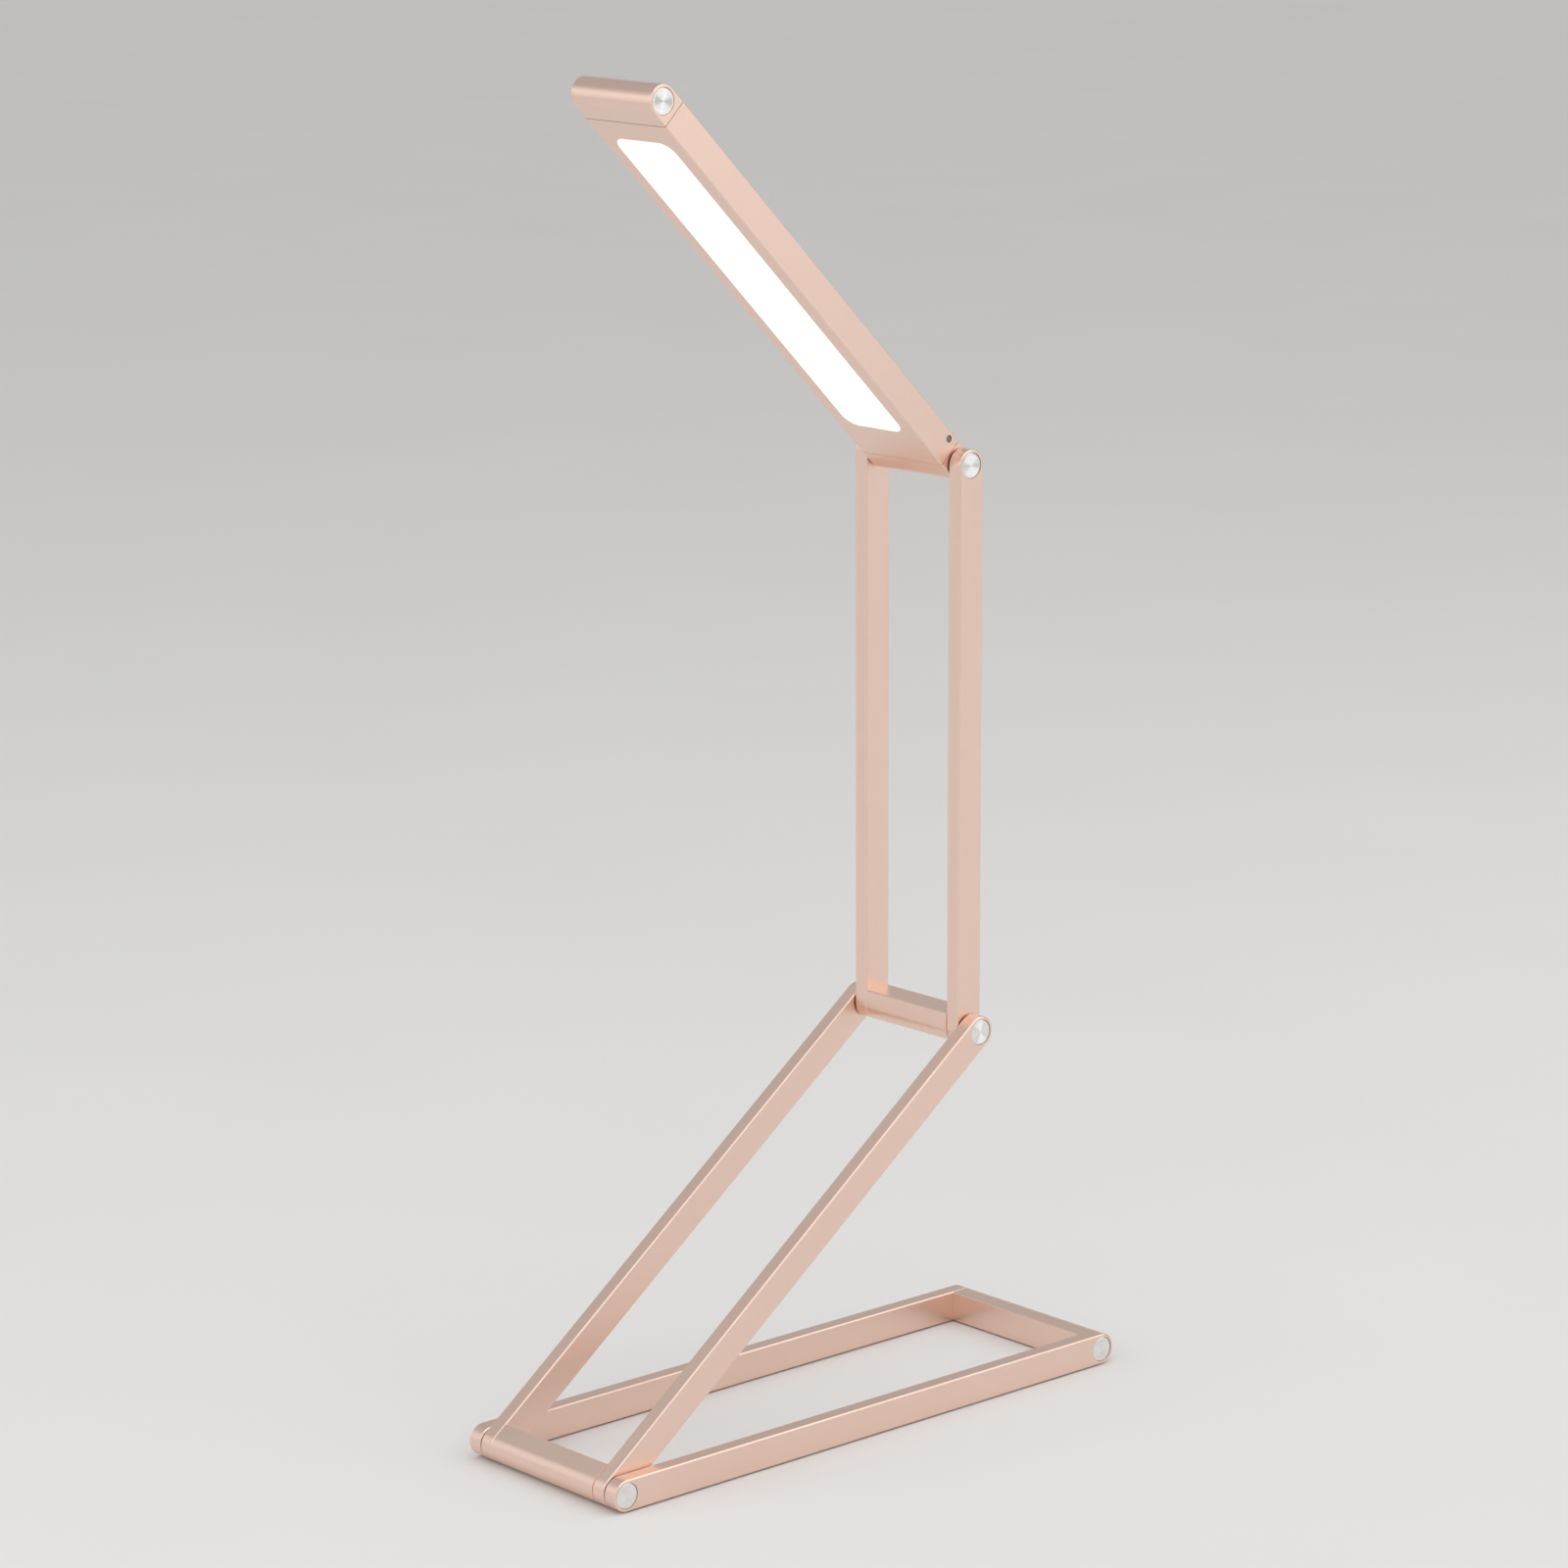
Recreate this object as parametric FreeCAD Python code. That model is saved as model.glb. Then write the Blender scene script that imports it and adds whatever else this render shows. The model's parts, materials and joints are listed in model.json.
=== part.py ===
import FreeCAD, Part
import math
import os

# A folding desk lamp: a base, two arms and a flat lamp head, all of one bar height, that nest
# inside each other when folded. Millimetres and degrees. +X runs along the base from the base
# hinge to the far crossbar, +Y along the hinge axes, +Z up from the table.

# Nested frames; an arm's pitch is the distance between the centres of its round ends
bar_height = 10.5
rail_thick = 5.4
side_gap = 0.4
crossbar_reach = 5.5
base_width = 72.6
base_pitch = 211.8
base_end_gap = 2.0
arm_end_gap = 0.6
edge_bevel = 0.4

# Pose of the lamp as it stands, each lift an angle measured from the table
lower_lift = 37.1
upper_lift = 90.2
head_lift = 135.2

# Caps and pivots
cap_rim = 1.05
cap_thick = 0.9
cap_recess = 0.25
cap_fit = 0.03
screw_head_clear = 0.2
screw_head_height = 1.3
screw_head_room = 0.1
shank_radius = 2.0
running_clear = 0.05
thread_fit = 0.02
thread_depth = 8.0
washer_slack = 0.05
washer_rim = 0.7
tenon_wall = 0.9
tenon_edge = 0.8
tenon_height = 5.0
tenon_web = 0.9
tenon_fit = 0.03

# Foot pads under the base rails
pad_length = 18.0
pad_width = 3.2
pad_proud = 0.4
pad_sunk = 0.5
pad_offset = 24.0
pad_fit = 0.05

# Lamp head shell and end blocks
head_wall = 1.2
hinge_reach = 5.75
tip_reach = 5.95
seam_gap = 0.15
tongue_length = 5.0
tongue_fit = 0.05

# Light window and the parts behind it
window_side_margin = 5.5
window_corner = 5.0
window_fit = 0.1
window_end_room = 2.3
diffuser_lip = 1.0
diffuser_lip_thick = 1.0
reflector_depth = 2.8
reflector_wall = 1.4
led_board_thick = 1.0
led_length = 3.5
led_width = 2.8
led_height = 0.7
led_pitch = 9.6
led_row_offset = 5.2
battery_side_room = 3.0
battery_front_room = 12.0
battery_rear_room = 8.0
tape_thick = 0.3
tape_inset = 4.0

# Control bay between the hinge block and the light window
socket_width = 8.95
socket_height = 3.2
socket_depth = 7.4
socket_shell = 0.3
socket_tongue_width = 6.7
socket_tongue_thick = 0.7
socket_tongue_back = 1.0
socket_recess = 0.2
socket_fit = 0.15
socket_floor = 1.2
bay_room = 0.2
control_board_thick = 1.0
board_edge_room = 0.3
switch_size = 4.6
switch_height = 2.2
plunger_size = 2.4
plunger_sunk = 0.9
plunger_proud = 1.2
button_radius = 3.4
button_proud = 0.5
button_bevel = 0.3
button_travel = 0.4
button_lip = 1.0
button_lip_thick = 0.8
button_seat_gap = 0.02
stem_size = 3.0
indicator_radius = 1.2
indicator_inset = 3.65
indicator_gap = 0.05
indicator_tongue_room = 0.9
indicator_length = 4.0
indicator_recess = 0.3
indicator_fit = 0.02
flex_thick = 0.3
flex_width = 5.0
flex_foot = 1.6
flex_edge_room = 0.25
flex_bend = 0.25
flex_switch_room = 1.0
flex_socket_room = 1.0

# How far a cut runs past the face that it opens
through = 1.0

# Sizes that follow from the ones above
half_height = bar_height / 2
frame_step = rail_thick + side_gap
frame_end = crossbar_reach + half_height
lower_pitch = base_pitch - frame_end - base_end_gap
upper_pitch = lower_pitch - frame_end - arm_end_gap
head_pitch = upper_pitch - frame_end - arm_end_gap
base_half = base_width / 2
lower_half = base_half - frame_step
upper_half = lower_half - frame_step
head_half = upper_half - frame_step

cap_radius = half_height - cap_rim
seat_radius = cap_radius + cap_fit
cap_depth = cap_recess + cap_thick
seat_depth = cap_depth + screw_head_room + screw_head_height + washer_slack
screw_head_radius = cap_radius - screw_head_clear
thread_hole_radius = shank_radius + thread_fit
running_hole_radius = shank_radius + running_clear
washer_radius = half_height - washer_rim
tenon_low = shank_radius + tenon_wall
tenon_high = crossbar_reach - tenon_edge
tenon_middle = (tenon_low + tenon_high) / 2
tenon_length = rail_thick - seat_depth - tenon_web

inner_half = head_half - head_wall
inner_rise = half_height - head_wall
shell_start = hinge_reach
shell_end = head_pitch - tip_reach
bay_start = shell_start + tongue_length
button_span = 2 * (button_radius + button_lip)
bay_length = max(socket_width, button_span) + 2 * bay_room
bay_middle = bay_start + bay_length / 2
bay_end = bay_start + bay_length
window_start = bay_end + diffuser_lip
window_end = shell_end - tongue_length - window_end_room - diffuser_lip
window_half = head_half - window_side_margin
stack_half = window_half + diffuser_lip

# Heights in the head are measured along its own Z, from the light side (+) to the back (-)
lip_level = inner_rise - diffuser_lip_thick
led_board_level = lip_level - reflector_depth
led_back_level = led_board_level - led_board_thick
battery_level = -inner_rise + tape_thick
board_back_level = socket_height / 2
board_front_level = board_back_level + control_board_thick
switch_level = board_back_level - switch_height
plunger_level = switch_level - plunger_proud
button_lip_level = -inner_rise + button_seat_gap
stem_level = button_lip_level + button_lip_thick
socket_mouth = head_half - socket_recess
socket_back = socket_mouth - socket_depth
indicator_along = shell_start + indicator_inset
indicator_rise = inner_rise - indicator_radius - indicator_gap
indicator_mouth = -head_half + indicator_recess
indicator_end = indicator_mouth + indicator_length
tongue_half = -indicator_end - indicator_tongue_room
tongue_rise = inner_rise - tongue_fit
control_board_half = inner_half - board_edge_room

along_y = FreeCAD.Vector(0, 1, 0)
along_z = FreeCAD.Vector(0, 0, 1)
centre = FreeCAD.Vector(0, 0, 0)


def vec(x, y, z):
    return FreeCAD.Vector(x, y, z)


def line(start, end):
    return Part.LineSegment(start, end).toShape()


def arc(start, middle, end):
    return Part.Arc(start, middle, end).toShape()


def disc(radius, y_low, y_high, x=0.0, z=0.0):
    return Part.makeCylinder(radius, y_high - y_low, vec(x, y_low, z), along_y)


def upright(radius, z_low, z_high, x=0.0, y=0.0):
    return Part.makeCylinder(radius, z_high - z_low, vec(x, y, z_low), along_z)


def block(x_low, x_high, y_low, y_high, z_low, z_high):
    return Part.makeBox(x_high - x_low, y_high - y_low, z_high - z_low, vec(x_low, y_low, z_low))


def solids_on_both_sides(shape):
    return [shape, shape.mirror(centre, along_y)]


def both_sides(shape):
    return Part.makeCompound(solids_on_both_sides(shape))


# A bar with two round ends, seen from the side, between two Y planes
def round_ended_bar(length, radius, y_low, y_high):
    top = line(vec(0, y_low, radius), vec(length, y_low, radius))
    far = arc(vec(length, y_low, radius), vec(length + radius, y_low, 0), vec(length, y_low, -radius))
    bottom = line(vec(length, y_low, -radius), vec(0, y_low, -radius))
    near = arc(vec(0, y_low, -radius), vec(-radius, y_low, 0), vec(0, y_low, radius))
    face = Part.Face(Part.Wire([top, far, bottom, near]))
    return face.extrude(vec(0, y_high - y_low, 0))


# A bar with one round end about the Y axis and a flat face at x = reach
def one_round_end(reach, radius, y_low, y_high):
    top = line(vec(0, y_low, radius), vec(reach, y_low, radius))
    flat = line(vec(reach, y_low, radius), vec(reach, y_low, -radius))
    bottom = line(vec(reach, y_low, -radius), vec(0, y_low, -radius))
    nose = arc(vec(0, y_low, -radius), vec(-radius, y_low, 0), vec(0, y_low, radius))
    face = Part.Face(Part.Wire([top, flat, bottom, nose]))
    return face.extrude(vec(0, y_high - y_low, 0))


# A flat plate with rounded corners, seen along Z
def rounded_plate(x_low, x_high, half_width, corner, z_low, z_high):
    dip = corner * (1 - math.sqrt(0.5))
    left, right = -half_width, half_width
    edges = [
        line(vec(x_low + corner, left, z_low), vec(x_high - corner, left, z_low)),
        arc(vec(x_high - corner, left, z_low), vec(x_high - dip, left + dip, z_low),
            vec(x_high, left + corner, z_low)),
        line(vec(x_high, left + corner, z_low), vec(x_high, right - corner, z_low)),
        arc(vec(x_high, right - corner, z_low), vec(x_high - dip, right - dip, z_low),
            vec(x_high - corner, right, z_low)),
        line(vec(x_high - corner, right, z_low), vec(x_low + corner, right, z_low)),
        arc(vec(x_low + corner, right, z_low), vec(x_low + dip, right - dip, z_low),
            vec(x_low, right - corner, z_low)),
        line(vec(x_low, right - corner, z_low), vec(x_low, left + corner, z_low)),
        arc(vec(x_low, left + corner, z_low), vec(x_low + dip, left + dip, z_low),
            vec(x_low + corner, left, z_low)),
    ]
    return Part.Face(Part.Wire(edges)).extrude(vec(0, 0, z_high - z_low))


# A flat flexible lead: a foot on the control board, a riser and a run that ends at end_x
def flex_lead(end_x, level, y_middle):
    riser_x = bay_end - flex_edge_room
    foot_x = riser_x - flex_foot
    foot_top = board_back_level - flex_thick
    corners = [
        (foot_x, board_back_level), (riser_x, board_back_level), (riser_x, level + flex_thick),
        (end_x, level + flex_thick), (end_x, level), (riser_x - flex_thick, level),
        (riser_x - flex_thick, foot_top), (foot_x, foot_top), (foot_x, board_back_level)]
    outline = Part.makePolygon([vec(x, y_middle - flex_width / 2, z) for x, z in corners])
    strip = Part.Face(outline).extrude(vec(0, flex_width, 0))
    return strip.makeFillet(flex_bend, [edge for edge in strip.Edges if on_flex_bend(edge, level)])


# True for the two outer bends of a flat lead, at the foot of its riser and at the top
def on_flex_bend(edge, level):
    at = edge.CenterOfMass
    riser_x = bay_end - flex_edge_room
    across = edge.BoundBox.YLength > flex_width / 2
    low_bend = abs(at.x - riser_x) < flex_bend / 2 and abs(at.z - board_back_level) < flex_bend / 2
    high_bend = abs(at.x - riser_x + flex_thick) < flex_bend / 2 and abs(at.z - level) < flex_bend / 2
    return across and (low_bend or high_bend)


def bevel_outline(solid, bevel):
    outline = [edge for edge in solid.Edges if edge.BoundBox.YLength < bevel / 2]
    return solid.makeChamfer(bevel, outline)


def bevel_along(solid, bevel, picked):
    return solid.makeChamfer(bevel, [edge for edge in solid.Edges if picked(edge.CenterOfMass)])


# Stepped bore in an outer rail: one seat for the screw head and the cap over it, then the screw's hole
def stepped_bore(x, y_outer, hole_radius):
    seat_floor = y_outer - seat_depth
    seat = disc(seat_radius, seat_floor, y_outer + through, x)
    hole = disc(hole_radius, y_outer - rail_thick - through, seat_floor, x)
    return seat.fuse(hole)


# Square tenon on a crossbar's end, or the pocket for it in the rail, with its middle at x
def tenon(x, y_low, y_high, grown):
    half_wide = (tenon_high - tenon_low) / 2 + grown
    half_tall = tenon_height / 2 + grown
    return block(x - half_wide, x + half_wide, y_low, y_high, -half_tall, half_tall)


# Screw hole and tenon pocket where the inner rail is clamped to its crossbar
def clamped_holes(y_outer):
    y_inner = y_outer - rail_thick
    screw_hole = disc(thread_hole_radius, y_inner - through, y_outer + through)
    pocket = tenon(tenon_middle, y_inner - through, y_inner + tenon_length + tenon_fit, tenon_fit)
    return [screw_hole, pocket]


def crossbar(half_span):
    bar = one_round_end(crossbar_reach, half_height, -half_span, half_span)
    bar = bevel_along(bar, edge_bevel, lambda at: abs(at.x - crossbar_reach) < edge_bevel / 2
                      and abs(abs(at.z) - half_height) < edge_bevel / 2)
    bar = bar.fuse(solids_on_both_sides(tenon(tenon_middle, half_span, half_span + tenon_length, 0.0)))
    screw_hole = disc(thread_hole_radius, half_span - thread_depth, half_span + through)
    return bar.cut(solids_on_both_sides(screw_hole))


def cap(y_outer):
    face = y_outer - cap_recess
    return disc(cap_radius, face - cap_thick, face)


# Low six-sided screw head standing on the seat plane
def screw_head(seat):
    corners = []
    for turn in range(0, 361, 60):
        angle = math.radians(turn)
        corners.append(vec(screw_head_radius * math.cos(angle), seat, screw_head_radius * math.sin(angle)))
    return Part.Face(Part.makePolygon(corners)).extrude(vec(0, screw_head_height, 0))


# Pivot screw: its shank turns in the outer rail and holds the inner frame, reach deep
def pivot_screw(y_outer, reach):
    seat = y_outer - seat_depth + washer_slack
    shank = disc(shank_radius, y_outer - frame_step - reach, seat)
    return screw_head(seat).fuse(shank).removeSplitter()


# Plain screw that holds the base rail to the far crossbar
def fixed_screw(y_outer):
    seat = y_outer - seat_depth
    shank = disc(shank_radius, y_outer - rail_thick - thread_depth, seat)
    return screw_head(seat).fuse(shank).removeSplitter()


# Friction washer in the gap between the outer and the inner frame
def friction_washer(y_outer):
    face = y_outer - frame_step
    ring = disc(washer_radius, face, face + side_gap - washer_slack)
    hole = disc(running_hole_radius, face - through, face + side_gap)
    return ring.cut(hole)


def at_pose(shape, pivot, angle):
    posed = shape.copy()
    pose = FreeCAD.Placement(pivot, FreeCAD.Rotation(along_y, -angle))
    posed.Placement = pose.multiply(posed.Placement)
    return posed


def step_along(pivot, distance, angle):
    turn = math.radians(angle)
    return pivot + vec(distance * math.cos(turn), 0, distance * math.sin(turn))


def export(name, shape):
    shape.exportStep("parts/" + name + ".step")


def shifted(shape, x):
    moved = shape.copy()
    moved.translate(vec(x, 0, 0))
    return moved


# The same piece facing back along X, with its own axis moved to x
def turned_at(shape, x):
    turned = shape.copy()
    turned.Placement = FreeCAD.Placement(vec(x, 0, 0), FreeCAD.Rotation(along_z, 180))
    return turned


# A pair of rails, the right one a mirror of the left
def export_rails(prefix, rail, place):
    export(prefix + "_rail_left", place(rail))
    export(prefix + "_rail_right", place(rail.mirror(centre, along_y)))


# Rail of an arm: clamped to its crossbar at the lower end, bored for the next hinge at the upper
def arm_rail(length, y_outer):
    rail = bevel_outline(round_ended_bar(length, half_height, y_outer - rail_thick, y_outer), edge_bevel)
    bore = stepped_bore(length, y_outer, running_hole_radius)
    return rail.cut([bore] + clamped_holes(y_outer))


def export_hinge_caps(hinge, x, y_outer, place):
    export(hinge + "_hinge_caps", place(shifted(both_sides(cap(y_outer)), x)))


def export_pivot(hinge, y_outer, reach, place):
    export(hinge + "_pivot_screws", place(both_sides(pivot_screw(y_outer, reach))))
    export(hinge + "_friction_washers", place(both_sides(friction_washer(y_outer))))


def build_base(place):
    rail = bevel_outline(
        round_ended_bar(base_pitch, half_height, base_half - rail_thick, base_half), edge_bevel)
    hinge_bore = stepped_bore(0, base_half, running_hole_radius)
    end_bore = stepped_bore(base_pitch, base_half, thread_hole_radius)
    bar_half = base_half - rail_thick
    pocket = tenon(base_pitch - tenon_middle, bar_half - through,
                   bar_half + tenon_length + tenon_fit, tenon_fit)
    pad_y = base_half - rail_thick / 2
    pads = []
    pockets = []
    for pad_x in (pad_offset, base_pitch - pad_offset):
        pads += solids_on_both_sides(foot_pad(pad_x, pad_y, 0.0, -half_height - pad_proud))
        pockets.append(foot_pad(pad_x, pad_y, pad_fit, -half_height - through))
    rail = rail.cut([hinge_bore, end_bore, pocket] + pockets)
    export_rails("base", rail, place)
    export("base_crossbar", place(turned_at(crossbar(bar_half), base_pitch)))
    export("base_screws", place(shifted(both_sides(fixed_screw(base_half)), base_pitch)))
    export("base_end_caps", place(shifted(both_sides(cap(base_half)), base_pitch)))
    export("foot_pads", place(Part.makeCompound(pads)))
    export_hinge_caps("base", 0, base_half, place)


# Rubber pad let into the underside of a base rail, or the pocket for it
def foot_pad(x, y, grown, z_low):
    half_long = pad_length / 2 + grown
    half_wide = pad_width / 2 + grown
    z_high = pad_sunk + grown - half_height
    return block(x - half_long, x + half_long, y - half_wide, y + half_wide, z_low, z_high)


def build_arm(name, hinge, next_hinge, length, y_outer, place):
    export_rails(name, arm_rail(length, y_outer), place)
    bar_half = y_outer - rail_thick
    export(name + "_crossbar", place(crossbar(bar_half)))
    export_pivot(hinge, y_outer + frame_step, rail_thick + thread_depth, place)
    export_hinge_caps(next_hinge, length, y_outer, place)


# Round block that carries the head on its pivots, with a tongue and a shelf inside the shell
def build_hinge_block(place):
    body = one_round_end(shell_start - seam_gap, half_height, -head_half, head_half)
    body = bevel_along(body, edge_bevel, lambda at: abs(abs(at.y) - head_half) < edge_bevel / 2
                       and at.x < shell_start - seam_gap - edge_bevel)
    tongue = block(shell_start - seam_gap, bay_start, -tongue_half, tongue_half, -tongue_rise, tongue_rise)
    shelf = block(bay_start, bay_end, -tongue_half, tongue_half, board_front_level, tongue_rise)
    pivot_hole = disc(thread_hole_radius, head_half - thread_depth, head_half + through)
    body = body.fuse([tongue, shelf]).removeSplitter()
    export("hinge_block", place(body.cut(solids_on_both_sides(pivot_hole))))


# Flat tube with the light window, the button hole, the socket slot and the indicator hole
def build_shell(place):
    tube = block(shell_start, shell_end, -head_half, head_half, -half_height, half_height)
    tube = bevel_along(tube, edge_bevel, lambda at: abs(abs(at.y) - head_half) < edge_bevel / 2
                       and abs(abs(at.z) - half_height) < edge_bevel / 2)
    bore = block(shell_start - through, shell_end + through, -inner_half, inner_half,
                 -inner_rise, inner_rise)
    window = rounded_plate(window_start, window_end, window_half, window_corner,
                           inner_rise - through, half_height + through)
    button_hole = upright(button_radius + running_clear, -half_height - through,
                          -inner_rise + through, bay_middle)
    slot = socket_form(socket_fit, inner_half - through, head_half + through)
    indicator_hole = disc(indicator_radius + indicator_fit, -head_half - through, -inner_half + through,
                          indicator_along, -indicator_rise)
    export("head_shell", place(tube.cut([bore, window, button_hole, slot, indicator_hole])))


# Round nose that closes the shell, with cap seats in its sides
def build_tip_block(place):
    nose = one_round_end(tip_reach - seam_gap, half_height, -head_half, head_half)
    nose = bevel_along(nose, edge_bevel, lambda at: abs(abs(at.y) - head_half) < edge_bevel / 2
                       and at.x < tip_reach - seam_gap - edge_bevel)
    tongue = block(tip_reach - seam_gap, tip_reach + tongue_length, -inner_half + tongue_fit,
                   inner_half - tongue_fit, -tongue_rise, tongue_rise)
    seat = disc(seat_radius, head_half - cap_depth, head_half + through)
    nose = nose.fuse(tongue).removeSplitter().cut(solids_on_both_sides(seat))
    export("tip_block", place(turned_at(nose, head_pitch)))
    export("tip_caps", place(shifted(both_sides(cap(head_half)), head_pitch)))


# Diffuser with its holding lip, and the reflector frame, board and lamps stacked behind it
def build_light(place):
    pane = rounded_plate(window_start + window_fit, window_end - window_fit, window_half - window_fit,
                         window_corner - window_fit, inner_rise, half_height)
    stack_start = window_start - diffuser_lip
    stack_end = window_end + diffuser_lip
    lip = block(stack_start, stack_end, -stack_half, stack_half, lip_level, inner_rise)
    export("diffuser", place(pane.fuse(lip).removeSplitter()))
    opening_half = stack_half - reflector_wall
    outer = block(stack_start, stack_end, -stack_half, stack_half, led_board_level, lip_level)
    opening = block(stack_start + reflector_wall, stack_end - reflector_wall, -opening_half, opening_half,
                    led_board_level - through, lip_level + through)
    export("reflector_frame", place(outer.cut(opening)))
    board = block(stack_start, stack_end, -stack_half, stack_half, led_back_level, led_board_level)
    export("led_board", place(board))
    export("leds", place(Part.makeCompound(led_chips())))


def led_chips():
    row_length = window_end - window_start - 2 * window_corner
    count = int(row_length // led_pitch) + 1
    first = (window_start + window_end - (count - 1) * led_pitch) / 2
    chips = []
    for place_in_row in range(count):
        x = first + place_in_row * led_pitch
        for y in (-led_row_offset, led_row_offset):
            chips.append(block(x - led_length / 2, x + led_length / 2, y - led_width / 2, y + led_width / 2,
                               led_board_level, led_board_level + led_height))
    return chips


def battery_span():
    return window_start + battery_front_room, window_end - battery_rear_room


def build_battery(place):
    x_low, x_high = battery_span()
    half_wide = inner_half - battery_side_room
    tape_half = half_wide - tape_inset
    cell = block(x_low, x_high, -half_wide, half_wide, battery_level, led_back_level)
    tape = block(x_low + tape_inset, x_high - tape_inset, -tape_half, tape_half, -inner_rise, battery_level)
    export("battery", place(cell))
    export("battery_tape", place(tape))


# Outline of the charging socket, a slot with round ends, between two Y planes
def socket_form(grown, y_low, y_high):
    radius = socket_height / 2 + grown
    straight = socket_width - socket_height
    return shifted(round_ended_bar(straight, radius, y_low, y_high), bay_middle - straight / 2)


def build_control(place):
    board = block(bay_start + bay_room / 2, bay_end - bay_room / 2, -control_board_half, control_board_half,
                  board_back_level, board_front_level)
    export("control_board", place(board))
    shell = socket_form(0.0, socket_back, socket_mouth)
    hollow = socket_form(-socket_shell, socket_back + socket_floor, socket_mouth + through)
    tongue = block(bay_middle - socket_tongue_width / 2, bay_middle + socket_tongue_width / 2,
                   socket_back + socket_floor, socket_mouth - socket_tongue_back,
                   -socket_tongue_thick / 2, socket_tongue_thick / 2)
    export("charging_socket", place(shell.cut(hollow).fuse(tongue).removeSplitter()))
    lens = disc(indicator_radius, indicator_mouth, indicator_end, indicator_along, -indicator_rise)
    export("indicator_lens", place(lens))


# Square post of the switch or the button, along the head's Z
def post(size, z_low, z_high):
    half = size / 2
    return block(bay_middle - half, bay_middle + half, -half, half, z_low, z_high)


def build_button(place):
    plunger_end = switch_level + plunger_sunk
    well = post(plunger_size + 2 * running_clear, switch_level - through,
                plunger_end + button_travel + running_clear)
    export("switch_body", place(post(switch_size, switch_level, board_back_level).cut(well)))
    export("switch_plunger", place(post(plunger_size, plunger_level, plunger_end)))
    outer = -half_height - button_proud
    knob = upright(button_radius, outer, button_lip_level, bay_middle)
    knob = bevel_along(knob, button_bevel, lambda at: abs(at.z - outer) < button_bevel / 2)
    lip = upright(button_radius + button_lip, button_lip_level, stem_level, bay_middle)
    stem = post(stem_size, stem_level, plunger_level)
    export("power_button", place(knob.fuse([lip, stem]).removeSplitter()))


# Flat leads from the control board to the lamp board and to the battery
def build_leads(place):
    lamp_y = -(switch_size + flex_width) / 2 - flex_switch_room
    battery_y = socket_back - flex_socket_room - flex_width / 2
    pads_x = window_start + battery_front_room / 2
    battery_x = battery_span()[0]
    battery_middle = (battery_level + led_back_level - flex_thick) / 2
    export("lamp_flex", place(flex_lead(pads_x, led_back_level - flex_thick, lamp_y)))
    export("battery_flex", place(flex_lead(battery_x, battery_middle, battery_y)))


def main():
    os.makedirs("parts", exist_ok=True)
    base_pivot = vec(-base_pitch / 2, 0, pad_proud + half_height)
    elbow_pivot = step_along(base_pivot, lower_pitch, lower_lift)
    head_pivot = step_along(elbow_pivot, upper_pitch, upper_lift)
    build_base(lambda shape: at_pose(shape, base_pivot, 0))
    build_arm("lower", "base", "elbow", lower_pitch, lower_half,
              lambda shape: at_pose(shape, base_pivot, lower_lift))
    build_arm("upper", "elbow", "head", upper_pitch, upper_half,
              lambda shape: at_pose(shape, elbow_pivot, upper_lift))
    in_head = lambda shape: at_pose(shape, head_pivot, head_lift)
    export_pivot("head", upper_half, thread_depth, in_head)
    for build in (build_hinge_block, build_shell, build_tip_block, build_light, build_battery,
                  build_control, build_button, build_leads):
        build(in_head)
    print("base pivot", base_pivot, "elbow pivot", elbow_pivot, "head pivot", head_pivot)


main()
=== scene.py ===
import json
import math
import bpy
from mathutils import Matrix, Vector


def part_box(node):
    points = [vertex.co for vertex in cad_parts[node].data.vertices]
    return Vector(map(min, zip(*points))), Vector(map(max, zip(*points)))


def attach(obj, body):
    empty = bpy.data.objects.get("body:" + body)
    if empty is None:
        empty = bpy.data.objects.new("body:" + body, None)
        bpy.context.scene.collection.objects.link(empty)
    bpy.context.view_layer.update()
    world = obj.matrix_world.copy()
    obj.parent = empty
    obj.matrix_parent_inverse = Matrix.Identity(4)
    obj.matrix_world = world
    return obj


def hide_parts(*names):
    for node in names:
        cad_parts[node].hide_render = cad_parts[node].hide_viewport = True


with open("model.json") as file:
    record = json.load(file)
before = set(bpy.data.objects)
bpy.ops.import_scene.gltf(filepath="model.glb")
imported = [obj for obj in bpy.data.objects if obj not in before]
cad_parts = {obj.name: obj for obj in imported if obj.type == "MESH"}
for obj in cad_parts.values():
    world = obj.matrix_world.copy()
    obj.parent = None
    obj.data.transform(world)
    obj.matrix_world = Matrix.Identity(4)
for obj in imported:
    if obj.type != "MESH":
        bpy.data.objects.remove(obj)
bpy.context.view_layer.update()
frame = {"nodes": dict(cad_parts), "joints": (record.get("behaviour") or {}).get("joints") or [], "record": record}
mm = 0.001
quarterTurn = math.radians(90.0)
joints = {joint["name"]: joint for joint in frame["joints"]}
slotOf = {part["node"]: part["material_slot"] for part in frame["record"]["subparts"]}
bodyOf = {node: body for body, nodes in frame["record"]["behaviour"]["bodies"].items() for node in nodes}


def middleOf(node):
    low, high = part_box(node)
    return (low + high) / 2


# the hinge centres, and how each bar leans over the table
basePivot = Vector(joints["base_hinge"]["pos_m"])
elbowPivot = Vector(joints["elbow_hinge"]["pos_m"])
headPivot = Vector(joints["head_hinge"]["pos_m"])
tipCentre = middleOf("tip_caps")


def leanBetween(start, end):
    return math.atan2(end.z - start.z, end.x - start.x)


leanOf = {
    "base": 0.0,
    "lower_arm": leanBetween(basePivot, elbowPivot),
    "upper_arm": leanBetween(elbowPivot, headPivot),
    "head": leanBetween(headPivot, tipCentre),
}
print("frame loaded,", len(frame["nodes"]), "nodes")


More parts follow.
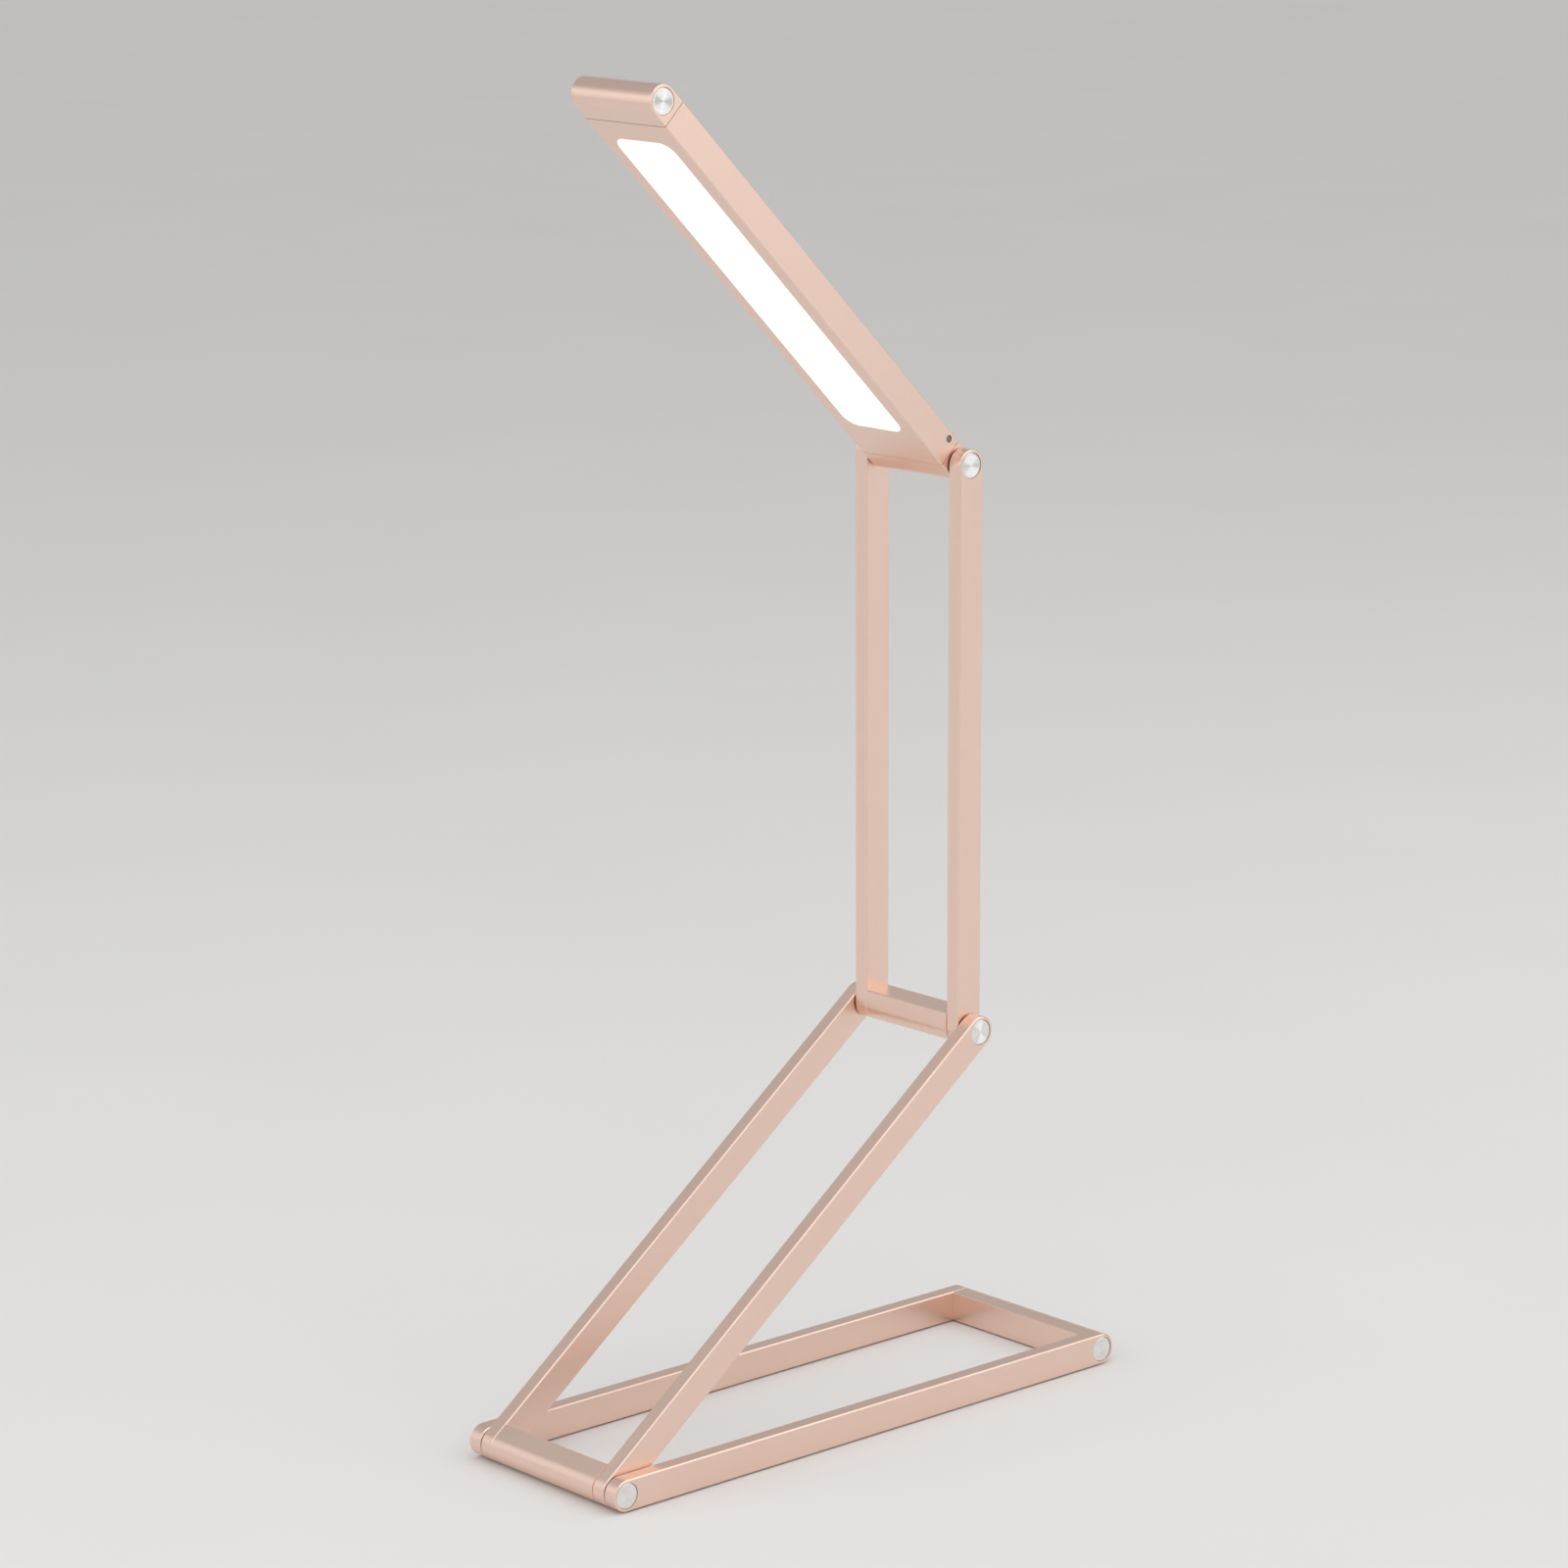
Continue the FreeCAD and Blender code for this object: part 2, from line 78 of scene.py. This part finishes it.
class Wire:  # a node socket that can stand in a Python sum
    def __init__(self, tree, socket=None):
        self.tree = tree
        self.socket = socket

    def node(self, kind, settings=None, inputs=None, output=0):
        made = self.tree.nodes.new(kind)
        for name, value in (settings or {}).items():
            if name == "stops":
                ramp = made.color_ramp.elements
                while len(ramp) < len(value):
                    ramp.new(1.0)
                for stop, (place, colour) in zip(ramp, value):
                    stop.position = place
                    stop.color = colour
            else:
                setattr(made, name, value)
        for key, value in (inputs or {}).items():
            Wire(self.tree, value.socket if isinstance(value, Wire) else value).into(made.inputs[key])
        return Wire(self.tree, made.outputs[output])

    def into(self, socket):
        if isinstance(self.socket, bpy.types.NodeSocket):
            self.tree.links.new(self.socket, socket)
        else:
            socket.default_value = self.socket

    def maths(self, operation, first, second):
        return self.node("ShaderNodeMath", {"operation": operation}, {0: first, 1: second})

    def __add__(self, other):
        return self.maths("ADD", self, other)

    def __radd__(self, other):
        return self.maths("ADD", other, self)

    def __sub__(self, other):
        return self.maths("SUBTRACT", self, other)

    def __rsub__(self, other):
        return self.maths("SUBTRACT", other, self)

    def __mul__(self, other):
        return self.maths("MULTIPLY", self, other)

    def __rmul__(self, other):
        return self.maths("MULTIPLY", other, self)


def startMaterial(name, constants):
    material = bpy.data.materials.new(name)
    material.use_nodes = True
    shader = material.node_tree.nodes["Principled BSDF"]
    for socket, value in constants.items():
        shader.inputs[socket].default_value = value
    place = Wire(material.node_tree).node("ShaderNodeTexCoord", output="Object")
    return material, shader, place


# object coordinates measured from a point, with x turned to run along a leaning bar
def alongBar(place, centre, lean):
    moved = place.node("ShaderNodeVectorMath", {"operation": "SUBTRACT"}, {0: place, 1: centre})
    return moved.node("ShaderNodeMapping", {}, {"Vector": moved, "Rotation": (0.0, lean, 0.0)})


def noise(place, stretch, detail=2.0):
    scaled = place.node("ShaderNodeVectorMath", {"operation": "MULTIPLY"}, {0: place, 1: stretch})
    return scaled.node("ShaderNodeTexNoise", {}, {"Vector": scaled, "Scale": 1.0, "Detail": detail}, "Fac")


def swing(middle, depth, pattern):  # goes up and down about its middle, by a pattern from 0 to 1
    return middle + depth * (pattern - 0.5)


def share(part, first, second):  # two patterns in one, the first for its part and the second for the rest
    return part * first + (1 - part) * second


def blendColours(factor, first, second):
    tones = {0: factor, 6: (*first, 1.0), 7: (*second, 1.0)}
    return factor.node("ShaderNodeMix", {"data_type": "RGBA"}, tones, 2)


def bumpFrom(height, strength, distance):
    return height.node("ShaderNodeBump", {}, {"Height": height, "Strength": strength, "Distance": distance})


# hair, patch and grain: how fine each is along, across and through the bar, per metre
roseGold = {
    "tint": (0.89, 0.66, 0.555), "paleTint": (0.91, 0.69, 0.59),
    "roughness": 0.33, "hairDepth": 0.10, "patchDepth": 0.06,
    "hair": {"along": (30.0, 1500.0, 1500.0), "across": (1500.0, 30.0, 1500.0)}, "hairDetail": 3.0,
    "patch": (22.0, 60.0, 60.0), "patchDetail": 3.0, "patchShare": 0.6,
    "grain": (5200.0, 5200.0, 5200.0), "grainDetail": 1.0, "grainShare": 0.6,
    "bumpStrength": 0.12, "bumpDistance": 0.02 * mm,
    "acrossNodes": ("base_crossbar", "lower_crossbar", "upper_crossbar", "hinge_block", "tip_block"),
}


def roseGoldMaterial(body, way):  # fine dyed aluminium, with a faint hairline the way the bar was drawn
    material, shader, place = startMaterial("roseGold_" + body + "_" + way, {"Metallic": 1.0})
    local = alongBar(place, headPivot, leanOf[body])
    hair = noise(local, roseGold["hair"][way], roseGold["hairDetail"])
    patch = noise(local, roseGold["patch"], roseGold["patchDetail"])
    grain = noise(local, roseGold["grain"], roseGold["grainDetail"])
    drawn = swing(roseGold["roughness"], roseGold["hairDepth"], hair)
    swing(drawn, roseGold["patchDepth"], patch).into(shader.inputs["Roughness"])
    shade = share(roseGold["patchShare"], patch, hair)
    blendColours(shade, roseGold["tint"], roseGold["paleTint"]).into(shader.inputs["Base Color"])
    height = share(roseGold["grainShare"], grain, hair)
    bumpFrom(height, roseGold["bumpStrength"], roseGold["bumpDistance"]).into(shader.inputs["Normal"])
    return material


spunSilver = {
    "tint": (0.84, 0.85, 0.85), "paleTint": (0.90, 0.90, 0.895),
    "roughness": 0.2, "ringDepth": 0.06, "ringsPerMetre": 2500.0,
    "bumpStrength": 0.08, "bumpDistance": 0.02 * mm,
}


def spunSilverMaterial(name, centre, lean, ringPlane):  # turned face: fine rings about an axis
    material, shader, place = startMaterial("spunSilver_" + name, {"Metallic": 1.0})
    local = alongBar(place, centre, lean)
    flat = local.node("ShaderNodeVectorMath", {"operation": "MULTIPLY"}, {0: local, 1: ringPlane})
    radius = flat.node("ShaderNodeVectorMath", {"operation": "LENGTH"}, {0: flat}, "Value")
    ringPlace = {"W": radius * spunSilver["ringsPerMetre"], "Scale": 1.0}
    ring = radius.node("ShaderNodeTexNoise", {"noise_dimensions": "1D"}, ringPlace, "Fac")
    swing(spunSilver["roughness"], spunSilver["ringDepth"], ring).into(shader.inputs["Roughness"])
    blendColours(ring, spunSilver["tint"], spunSilver["paleTint"]).into(shader.inputs["Base Color"])
    bumpFrom(ring, spunSilver["bumpStrength"], spunSilver["bumpDistance"]).into(shader.inputs["Normal"])
    return material


lightPane = {
    "colour": (1.0, 0.985, 0.95), "edgeColour": (1.0, 0.93, 0.82), "strength": 0.58,
    "unlitColour": (0.72, 0.715, 0.70, 1.0), "edge": 2.5 * mm, "faceDepth": 0.2 * mm,
    "roughness": 0.4, "speckDepth": 0.1, "grain": 1500.0,
}


# the pane's lowest and highest corners along the head, measured from the head's hinge
def paneSpan():
    turn = Matrix.Rotation(leanOf["head"], 4, "Y")
    corners = [turn @ (vertex.co - headPivot) for vertex in frame["nodes"]["diffuser"].data.vertices]
    front = max(corner.z for corner in corners)
    face = [corner for corner in corners if front - corner.z < lightPane["faceDepth"]]
    low = Vector((min(c.x for c in face), min(c.y for c in face), front))
    high = Vector((max(c.x for c in face), max(c.y for c in face), front))
    return low, high


def lightPaneMaterial():  # opal pane lit from behind, a little warmer and dimmer along its edge
    paneLow, paneHigh = paneSpan()
    constants = {"Base Color": lightPane["unlitColour"], "Emission Strength": lightPane["strength"]}
    material, shader, place = startMaterial("lightPane", constants)
    local = alongBar(place, headPivot, leanOf["head"])
    lengthways = local.node("ShaderNodeSeparateXYZ", {}, {0: local}, "X")
    sideways = Wire(lengthways.tree, lengthways.socket.node.outputs["Y"])
    toSide = paneHigh.y - sideways.maths("ABSOLUTE", sideways, 0.0)
    toEnd = lengthways.maths("MINIMUM", lengthways - paneLow.x, paneHigh.x - lengthways)
    toEdge = toSide.maths("MINIMUM", toSide, toEnd)
    inside = toEdge.node("ShaderNodeMapRange", {"interpolation_type": "SMOOTHSTEP"},
                         {"Value": toEdge, "From Min": 0.0, "From Max": lightPane["edge"]})
    blendColours(inside, lightPane["edgeColour"], lightPane["colour"]).into(shader.inputs["Emission Color"])
    speck = noise(place, (lightPane["grain"],) * 3)
    swing(lightPane["roughness"], lightPane["speckDepth"], speck).into(shader.inputs["Roughness"])
    return material


# plain finishes, per slot of the record: two close tones, roughness, metal or not, and grains per metre
plainFinishes = {
    "screw_steel": {"tones": ((0.52, 0.52, 0.53), (0.60, 0.60, 0.61)),
                    "rough": 0.3, "metal": 1.0, "grain": 900.0},
    "washer_nylon": {"tones": ((0.02, 0.02, 0.02), (0.04, 0.04, 0.04)),
                     "rough": 0.5, "metal": 0.0, "grain": 900.0},
    "foot_rubber": {"tones": ((0.025, 0.025, 0.026), (0.045, 0.045, 0.046)),
                    "rough": 0.75, "metal": 0.0, "grain": 1800.0},
    "reflector_white": {"tones": ((0.82, 0.82, 0.81), (0.88, 0.88, 0.87)),
                        "rough": 0.5, "metal": 0.0, "grain": 700.0},
    "lamp_board_white": {"tones": ((0.80, 0.80, 0.79), (0.86, 0.86, 0.85)),
                         "rough": 0.4, "metal": 0.0, "grain": 500.0},
    "led_phosphor": {"tones": ((0.90, 0.78, 0.30), (0.95, 0.86, 0.42)),
                     "rough": 0.2, "metal": 0.0, "grain": 2000.0},
    "battery_pouch": {"tones": ((0.62, 0.62, 0.64), (0.72, 0.72, 0.73)),
                      "rough": 0.35, "metal": 1.0, "grain": 300.0},
    "battery_tape": {"tones": ((0.03, 0.03, 0.03), (0.06, 0.06, 0.06)),
                     "rough": 0.8, "metal": 0.0, "grain": 1500.0},
    "control_board_green": {"tones": ((0.01, 0.12, 0.05), (0.02, 0.17, 0.07)),
                            "rough": 0.35, "metal": 0.0, "grain": 600.0},
    "socket_steel": {"tones": ((0.55, 0.55, 0.56), (0.66, 0.66, 0.67)),
                     "rough": 0.25, "metal": 1.0, "grain": 1200.0},
    "switch_black": {"tones": ((0.02, 0.02, 0.02), (0.035, 0.035, 0.035)),
                     "rough": 0.45, "metal": 0.0, "grain": 1200.0},
    "plunger_white": {"tones": ((0.75, 0.75, 0.74), (0.82, 0.82, 0.81)),
                      "rough": 0.4, "metal": 0.0, "grain": 1200.0},
    "indicator_smoke": {"tones": ((0.19, 0.165, 0.15), (0.24, 0.21, 0.19)),
                        "rough": 0.3, "metal": 0.0, "grain": 900.0},
    "flex_amber": {"tones": ((0.45, 0.20, 0.03), (0.55, 0.27, 0.05)),
                   "rough": 0.3, "metal": 0.0, "grain": 400.0},
}
plainSpeck = {"detail": 3.0, "roughDepth": 0.12, "bumpStrength": 0.2, "bumpDistance": 0.02 * mm}


def plainMaterial(slot):
    finish = plainFinishes[slot]
    material, shader, place = startMaterial(slot, {"Metallic": finish["metal"]})
    speck = noise(place, (finish["grain"],) * 3, plainSpeck["detail"])
    blendColours(speck, *finish["tones"]).into(shader.inputs["Base Color"])
    swing(finish["rough"], plainSpeck["roughDepth"], speck).into(shader.inputs["Roughness"])
    bumpFrom(speck, plainSpeck["bumpStrength"], plainSpeck["bumpDistance"]).into(shader.inputs["Normal"])
    return material


materials = {slot: plainMaterial(slot) for slot in plainFinishes}
materials["diffuser_opal"] = lightPaneMaterial()
goldOf = {}
for body in leanOf:
    for way in roseGold["hair"]:
        goldOf[body, way] = roseGoldMaterial(body, way)
print("materials made:", len(bpy.data.materials))


def finishOf(node):
    slot = slotOf[node]
    way = "across" if node in roseGold["acrossNodes"] else "along"
    return goldOf[bodyOf[node], way] if slot == "rose_gold" else materials[slot]


def wear(piece, material):
    piece.data.materials.clear()
    piece.data.materials.append(material)


def selectOnly(piece):
    bpy.ops.object.select_all(action="DESELECT")
    piece.select_set(True)
    bpy.context.view_layer.objects.active = piece


def settle(piece, node, material):  # the piece stands for the node, on the node's body
    wear(piece, material)
    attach(piece, bodyOf[node])
    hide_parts(node)


# the width of the soft edge goes by the slot; angles in degrees
skins = {
    "merge": 0.001 * mm, "flatAngle": 0.3, "sharpAngle": 30.0, "segments": 2, "faceWeight": 100,
    "softEdge": {"rose_gold": 0.08 * mm, "diffuser_opal": 0.12 * mm, "foot_rubber": 0.3 * mm,
                 "socket_steel": 0.06 * mm, "indicator_smoke": 0.08 * mm},
}


def soften(piece, width):
    selectOnly(piece)
    edge = piece.modifiers.new("softEdge", "BEVEL")
    edge.width = width
    edge.segments = skins["segments"]
    edge.limit_method = "ANGLE"
    edge.angle_limit = math.radians(skins["sharpAngle"])
    bpy.ops.object.modifier_apply(modifier="softEdge")
    bpy.ops.object.shade_smooth_by_angle(angle=math.radians(skins["sharpAngle"]))
    # broad faces stay flat beside their soft edges
    flat = piece.modifiers.new("flatFaces", "WEIGHTED_NORMAL")
    flat.weight = skins["faceWeight"]
    flat.keep_sharp = True
    bpy.ops.object.modifier_apply(modifier="flatFaces")


def skinOver(node, width, material):  # a welded copy of the node, its edges soft and its round faces smooth
    piece = bpy.data.objects.new(node + "_skin", frame["nodes"][node].data.copy())
    bpy.context.scene.collection.objects.link(piece)
    selectOnly(piece)
    bpy.ops.object.mode_set(mode="EDIT")
    bpy.ops.mesh.select_all(action="SELECT")
    bpy.ops.mesh.customdata_custom_splitnormals_clear()
    bpy.ops.mesh.remove_doubles(threshold=skins["merge"])
    bpy.ops.mesh.dissolve_limited(angle_limit=math.radians(skins["flatAngle"]))
    bpy.ops.object.mode_set(mode="OBJECT")
    soften(piece, width)
    settle(piece, node, material)


for node in sorted(slotOf):
    if slotOf[node] in skins["softEdge"]:
        skinOver(node, skins["softEdge"][slotOf[node]], finishOf(node))
    elif slotOf[node] != "turned_silver":
        wear(frame["nodes"][node], finishOf(node))
print("skins and plain finishes set")


# facing and flatness tell a cap's outer face from the rest
spunCaps = {
    "sides": 96, "chamfer": 0.3 * mm, "chamferSegments": 2, "flatRim": 0.3 * mm,
    "pitch": 0.17 * mm, "slope": 15.0, "smoothAngle": 12.0,
    "facing": 0.9, "flatness": 0.001 * mm, "ringPlane": (1.0, 0.0, 1.0),
    "nodes": ("base_hinge_caps", "base_end_caps", "elbow_hinge_caps", "head_hinge_caps", "tip_caps"),
}


def selectFaces(piece, picked):
    bpy.ops.object.mode_set(mode="EDIT")
    bpy.ops.mesh.select_all(action="DESELECT")
    bpy.ops.object.mode_set(mode="OBJECT")
    for face in piece.data.polygons:
        face.select = picked(face)
    bpy.ops.object.mode_set(mode="EDIT")


def spunCap(node, side):  # a chamfered disc with fine turned grooves from its rim to its middle
    low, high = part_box(node)
    middle = (low + high) / 2
    radius = (high.x - low.x) / 2
    thick = high.y - min(vertex.co.y for vertex in frame["nodes"][node].data.vertices if vertex.co.y > 0)
    bpy.ops.object.select_all(action="DESELECT")
    bpy.ops.mesh.primitive_cylinder_add(vertices=spunCaps["sides"], radius=radius, depth=thick,
                                        location=(middle.x, side * (high.y - thick / 2), middle.z),
                                        rotation=(quarterTurn, 0.0, 0.0))
    piece = bpy.context.object
    bpy.ops.object.transform_apply(location=True, rotation=True, scale=True)

    def isOuter(face):
        fromOuter = abs(face.center.y - side * high.y)
        return face.normal.y * side > spunCaps["facing"] and fromOuter < spunCaps["flatness"]

    selectFaces(piece, isOuter)
    bpy.ops.mesh.bevel(offset=spunCaps["chamfer"], segments=spunCaps["chamferSegments"], affect="EDGES")
    selectFaces(piece, isOuter)
    bpy.ops.mesh.inset(thickness=spunCaps["flatRim"], depth=0.0)
    half = spunCaps["pitch"] / 2
    sink = half * math.tan(math.radians(spunCaps["slope"]))
    grooves = int((radius - spunCaps["chamfer"] - spunCaps["flatRim"]) / spunCaps["pitch"])
    for groove in range(grooves):
        bpy.ops.mesh.inset(thickness=half, depth=-sink)
        bpy.ops.mesh.inset(thickness=half, depth=sink)
    bpy.ops.object.mode_set(mode="OBJECT")
    bpy.ops.object.shade_smooth_by_angle(angle=math.radians(spunCaps["smoothAngle"]))
    return piece


for node in spunCaps["nodes"]:
    pair = [spunCap(node, side) for side in (-1, 1)]
    bpy.ops.object.select_all(action="DESELECT")
    for piece in pair:
        piece.select_set(True)
    bpy.context.view_layer.objects.active = pair[0]
    bpy.ops.object.join()
    pair[0].name = node + "_spun"
    lean = leanOf[bodyOf[node]]
    settle(pair[0], node, spunSilverMaterial(node, middleOf(node), lean, spunCaps["ringPlane"]))
print("spun caps made:", len(spunCaps["nodes"]), "pairs")

powerButton = {"node": "power_button", "softEdge": 0.1 * mm, "ringPlane": (1.0, 1.0, 0.0)}
buttonMiddle = middleOf(powerButton["node"])
buttonSilver = spunSilverMaterial(powerButton["node"], buttonMiddle, leanOf["head"], powerButton["ringPlane"])
skinOver(powerButton["node"], powerButton["softEdge"], buttonSilver)
print("power button made")


stageSet = {
    "floorSize": 40.0, "floorColour": (0.80, 0.795, 0.785), "paleColour": (0.83, 0.825, 0.815),
    "roughness": 0.7, "cloudDepth": 0.1, "gloss": 0.2, "grain": 6.0,
}


def floorMaterial():
    material, shader, place = startMaterial("paleFloor", {"Specular IOR Level": stageSet["gloss"]})
    cloud = noise(place, (stageSet["grain"],) * 3)
    blendColours(cloud, stageSet["floorColour"], stageSet["paleColour"]).into(shader.inputs["Base Color"])
    (stageSet["roughness"] + stageSet["cloudDepth"] * cloud).into(shader.inputs["Roughness"])
    return material


bpy.ops.object.select_all(action="DESELECT")
bpy.ops.mesh.primitive_plane_add(size=stageSet["floorSize"], location=(0.0, 0.0, 0.0))
floor = bpy.context.object
floor.name = "pale_floor"
wear(floor, floorMaterial())

# each softbox: where it stands, what it looks at, its width and height, and its power in watts
softboxes = {
    "frontKey": {"place": (0.4, -1.1, 1.7), "aim": (0.0, 0.0, 0.05), "size": (2.4, 1.8), "power": 6.6},
    "edgeLight": {"place": (1.1, -0.4, 1.2), "aim": (0.0, 0.0, 0.15), "size": (1.3, 1.0), "power": 2.0},
    "leftSide": {"place": (-1.0, 0.3, 0.9), "aim": (-0.1, 0.0, 0.0), "size": (1.0, 0.8), "power": 2.0},
    "frontRight": {"place": (1.05, -1.15, 0.62), "aim": (0.0, 0.0, 0.25), "size": (1.6, 0.9), "power": 2.6},
    "frontLeft": {"place": (-1.3, -0.5, 0.7), "aim": (-0.1, 0.0, 0.1), "size": (1.2, 1.0), "power": 1.8},
    "backLeft": {"place": (-1.05, 1.05, 0.55), "aim": (-0.1, 0.0, 0.1), "size": (1.5, 0.9), "power": 1.4},
    "besideCamera": {"place": (-1.35, -1.35, 1.5), "aim": (-0.6, -0.6, 0.0),
                     "size": (2.2, 1.6), "power": 3.4},
}
for name, box in softboxes.items():
    light = bpy.data.lights.new(name, "AREA")
    light.shape = "RECTANGLE"
    light.size, light.size_y = box["size"]
    light.energy = box["power"]
    lamp = bpy.data.objects.new(name, light)
    lamp.location = box["place"]
    lamp.rotation_euler = (Vector(box["aim"]) - lamp.location).to_track_quat("-Z", "Y").to_euler()
    bpy.context.scene.collection.objects.link(lamp)

# studio walls, a greyer band above them and a pale ceiling, by the height of the direction looked in
studioWalls = {
    "stops": ((0.2, (0.58, 0.57, 0.56, 1.0)), (0.5, (0.40, 0.40, 0.40, 1.0)),
              (0.7, (0.44, 0.44, 0.44, 1.0)), (0.93, (1.0, 1.0, 1.0, 1.0))),
}
world = bpy.data.worlds.new("studio")
world.use_nodes = True
background = world.node_tree.nodes["Background"]
ray = Wire(world.node_tree).node("ShaderNodeTexCoord", output="Generated")
rise = ray.node("ShaderNodeSeparateXYZ", {}, {0: ray}, "Z")
sky = rise.node("ShaderNodeValToRGB", {"stops": studioWalls["stops"]}, {0: rise})
sky.into(background.inputs["Color"])
bpy.context.scene.world = world
print("stage and lights set")

# the camera as solved from the photograph's edges: metres, degrees, and millimetres for lens and sensor
photoCamera = {
    "place": (-1.12135, -1.23041, 0.58789), "yaw": 42.167, "pitch": -12.714,
    "lens": 121.389, "sensor": 36.0, "farClip": 100.0,
}
lens = bpy.data.cameras.new("photoCamera")
lens.lens = photoCamera["lens"]
lens.sensor_width = photoCamera["sensor"]
lens.clip_end = photoCamera["farClip"]
camera = bpy.data.objects.new("photoCamera", lens)
camera.location = photoCamera["place"]
tilt = quarterTurn + math.radians(photoCamera["pitch"])
camera.rotation_euler = (tilt, 0.0, math.radians(-photoCamera["yaw"]))
bpy.context.scene.collection.objects.link(camera)
bpy.context.scene.camera = camera
bpy.context.scene.view_settings.view_transform = "Standard"
